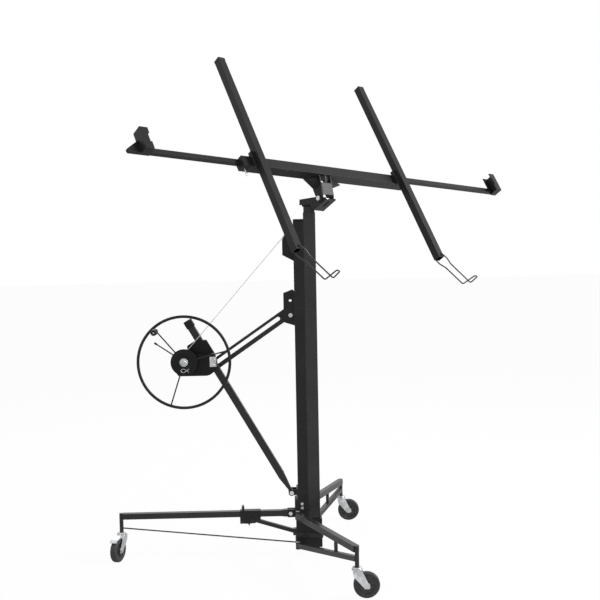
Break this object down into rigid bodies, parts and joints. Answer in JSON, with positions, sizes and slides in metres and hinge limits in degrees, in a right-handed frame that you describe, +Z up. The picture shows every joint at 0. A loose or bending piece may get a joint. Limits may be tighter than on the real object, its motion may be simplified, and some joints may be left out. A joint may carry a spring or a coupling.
{
  "type": "drywall panel hoist",
  "caption": "Rolling tripod hoist with a telescoping mast, a hand-wheel cable winch and a tilting cradle that lifts a wall or ceiling board into place.",
  "frame": {"origin": "on the floor, under the middle of the whole hoist as it stands; the mast is 65 mm to -X and 11 mm to -Y of it", "axes": "+Z up the mast; -X along the front leg, under the winch; the two rear legs spread to +X, one each side of Y"},
  "size_m": [1.845, 1.3829, 2.1361],
  "materials": {
    "black_steel": "satin black powder coat",
    "zinc_steel": "bright zinc plate",
    "black_plastic": "moulded matte black",
    "tyre": "hard black rubber"
  },
  "bodies": {
    "base": {"hub": "black_steel", "mast_rail": "black_steel", "mast_cap": "black_plastic", "pulley_bracket": "black_steel", "pulley_pin": "zinc_steel", "winch_gusset": "black_steel", "gusset_bolt": "zinc_steel", "strut_bracket": "black_steel", "strut_pin": "zinc_steel", "foot_bolts": "zinc_steel", "front_leg": "black_steel", "front_brace": "black_steel", "leg_sleeve": "black_steel", "stay_rod": "black_steel", "rear_leg_pins": "zinc_steel"},
    "top_pulley": {"top_pulley": "zinc_steel"},
    "middle_mast": {"mast_middle": "black_steel", "middle_shoes": "black_plastic"},
    "inner_mast": {"mast_inner": "black_steel", "swivel_bush": "black_plastic"},
    "swivel": {"swivel_head": "black_steel"},
    "tilt_bracket": {"lean_bracket": "black_steel", "head_bolts": "zinc_steel"},
    "cradle": {"cradle_saddle": "black_steel", "main_beam": "black_steel", "arm_pivots": "zinc_steel", "beam_lock_pins": "zinc_steel"},
    "left_extension": {"extension_left": "black_steel", "catch_left": "black_steel"},
    "right_extension": {"extension_right": "black_steel", "catch_right": "black_steel"},
    "left_arm": {"support_arm_left": "black_steel"},
    "right_arm": {"support_arm_right": "black_steel"},
    "left_hook": {"board_hook_left": "black_steel"},
    "right_hook": {"board_hook_right": "black_steel"},
    "lock_pin": {"leg_lock_pin": "black_steel"},
    "near_leg": {"rear_leg_near": "black_steel"},
    "far_leg": {"rear_leg_far": "black_steel"},
    "front_caster": {"front_caster_fork": "zinc_steel", "front_caster_axle": "zinc_steel"},
    "front_wheel": {"front_caster_wheel": "tyre"},
    "near_caster": {"near_caster_fork": "zinc_steel", "near_caster_axle": "zinc_steel"},
    "near_wheel": {"near_caster_wheel": "tyre"},
    "far_caster": {"far_caster_fork": "zinc_steel", "far_caster_axle": "zinc_steel"},
    "far_wheel": {"far_caster_wheel": "tyre"},
    "brake_tab": {"front_caster_brake": "zinc_steel"},
    "winch": {"winch_strut": "black_steel", "strut_cap": "black_plastic", "winch_housing": "black_steel", "housing_bolts": "zinc_steel", "winch_cable": "zinc_steel"},
    "winch_shaft": {"hand_wheel": "black_steel", "winch_drum": "zinc_steel", "winch_axle": "zinc_steel", "axle_clip": "zinc_steel"},
    "knob": {"crank_knob": "black_plastic"},
    "lever": {"brake_lever": "black_steel"},
    "arm": {"slotted_arm": "black_steel"}
  },
  "joints": [
    {"name": "middle_mast_lift", "type": "slide", "parent": "base", "child": "middle_mast", "axis": [0, 0, 1], "range_m": [0, 0.85], "deforming": ["winch_cable"]},
    {"name": "inner_mast_lift", "type": "slide", "parent": "middle_mast", "child": "inner_mast", "axis": [0, 0, 1], "range_m": [0, 0.85]},
    {"name": "cradle_swivel", "type": "hinge", "parent": "inner_mast", "child": "swivel", "pos_m": [-0.04348, -0.01089, 1.5], "axis": [0, 0, 1], "continuous": true},
    {"name": "cradle_lean", "type": "hinge", "parent": "swivel", "child": "tilt_bracket", "pos_m": [-0.04348, -0.01089, 1.532], "axis": [-0.6441, 0.7649, 0], "range_deg": [-13.6, 6.4]},
    {"name": "cradle_tilt", "type": "hinge", "parent": "tilt_bracket", "child": "cradle", "pos_m": [0.0228, -0.08843, 1.54398], "axis": [0.7634, 0.6429, -0.0628], "range_deg": [-56.3, 8.7]},
    {"name": "left_extension_slide", "type": "slide", "parent": "cradle", "child": "left_extension", "axis": [0.7634, 0.6429, -0.0628], "range_m": [-0.2, 0.38]},
    {"name": "right_extension_slide", "type": "slide", "parent": "cradle", "child": "right_extension", "axis": [-0.7634, -0.6429, 0.0628], "range_m": [0, 0.55]},
    {"name": "left_arm_swing", "type": "hinge", "parent": "cradle", "child": "left_arm", "pos_m": [-0.24311, -0.32381, 1.69827], "axis": [0.5625, -0.6139, 0.5537], "range_deg": [0, 45]},
    {"name": "left_hook_swing", "type": "hinge", "parent": "left_arm", "child": "left_hook", "pos_m": [-0.10788, -0.51894, 1.34456], "axis": [0.5625, -0.6139, 0.5537], "range_deg": [-127, 53]},
    {"name": "right_arm_swing", "type": "hinge", "parent": "cradle", "child": "right_arm", "pos_m": [0.37526, 0.1969, 1.64741], "axis": [0.5625, -0.6139, 0.5537], "range_deg": [-45, 0]},
    {"name": "right_hook_swing", "type": "hinge", "parent": "right_arm", "child": "right_hook", "pos_m": [0.51048, 0.00177, 1.2937], "axis": [0.5625, -0.6139, 0.5537], "range_deg": [-127, 53]},
    {"name": "leg_lock_pull", "type": "slide", "parent": "base", "child": "lock_pin", "axis": [0, 0, 1], "range_m": [0, 0.03]},
    {"name": "near_leg_fold", "type": "hinge", "parent": "base", "child": "near_leg", "pos_m": [-0.11523, -0.06189, 0.19], "axis": [0, 0, 1], "range_deg": [-100, 0]},
    {"name": "far_leg_fold", "type": "hinge", "parent": "base", "child": "far_leg", "pos_m": [-0.11523, 0.04011, 0.19], "axis": [0, 0, 1], "range_deg": [0, 100]},
    {"name": "front_caster_swivel", "type": "hinge", "parent": "base", "child": "front_caster", "pos_m": [-0.88123, -0.01089, 0.14], "axis": [0, 0, 1], "continuous": true},
    {"name": "front_wheel_roll", "type": "hinge", "parent": "front_caster", "child": "front_wheel", "pos_m": [-0.89354, -0.04472, 0.051], "axis": [0.9397, -0.342, 0], "continuous": true},
    {"name": "caster_brake_press", "type": "hinge", "parent": "front_caster", "child": "brake_tab", "pos_m": [-0.89012, -0.03532, 0.106], "axis": [0.9397, -0.342, 0], "range_deg": [0, 2.5]},
    {"name": "near_caster_swivel", "type": "hinge", "parent": "near_leg", "child": "near_caster", "pos_m": [0.10326, -0.54805, 0.14], "axis": [0, 0, 1], "continuous": true},
    {"name": "near_wheel_roll", "type": "hinge", "parent": "near_caster", "child": "near_wheel", "pos_m": [0.13926, -0.54805, 0.051], "axis": [0, 1, 0], "continuous": true},
    {"name": "far_caster_swivel", "type": "hinge", "parent": "far_leg", "child": "far_caster", "pos_m": [0.10326, 0.52627, 0.14], "axis": [0, 0, 1], "continuous": true},
    {"name": "far_wheel_roll", "type": "hinge", "parent": "far_caster", "child": "far_wheel", "pos_m": [0.13926, 0.52627, 0.051], "axis": [0, 1, 0], "continuous": true},
    {"name": "winch_fold", "type": "hinge", "parent": "base", "child": "winch", "pos_m": [-0.13923, -0.01089, 0.282], "axis": [0, 1, 0], "range_deg": [0, 8], "deforming": ["winch_cable"]},
    {"name": "slotted_arm_swing", "type": "hinge", "parent": "base", "child": "arm", "pos_m": [-0.13023, -0.01089, 1.053], "axis": [0, 1, 0], "range_deg": [-2.2, 0]},
    {"name": "hand_wheel_turn", "type": "hinge", "parent": "winch", "child": "winch_shaft", "pos_m": [-0.58423, -0.05089, 0.866], "axis": [0, 1, 0], "continuous": true},
    {"name": "crank_knob_turn", "type": "hinge", "parent": "winch_shaft", "child": "knob", "pos_m": [-0.69918, -0.11089, 1.00059], "axis": [0, 1, 0], "continuous": true},
    {"name": "brake_lever_turn", "type": "hinge", "parent": "winch", "child": "lever", "pos_m": [-0.58423, -0.05089, 0.866], "axis": [0, 1, 0], "range_deg": [-20, 20]},
    {"name": "top_pulley_turn", "type": "hinge", "parent": "base", "child": "top_pulley", "pos_m": [-0.13023, -0.01089, 1.376], "axis": [0, 1, 0], "continuous": true}
  ],
  "couplings": [
    {"joint": "inner_mast_lift", "follows": "middle_mast_lift", "ratio": 1},
    {"joint": "slotted_arm_swing", "follows": "winch_fold", "ratio": -0.27},
    {"joint": "hand_wheel_turn", "follows": "middle_mast_lift", "rad_per_m": -46.84},
    {"joint": "top_pulley_turn", "follows": "middle_mast_lift", "rad_per_m": -37.04}
  ]
}
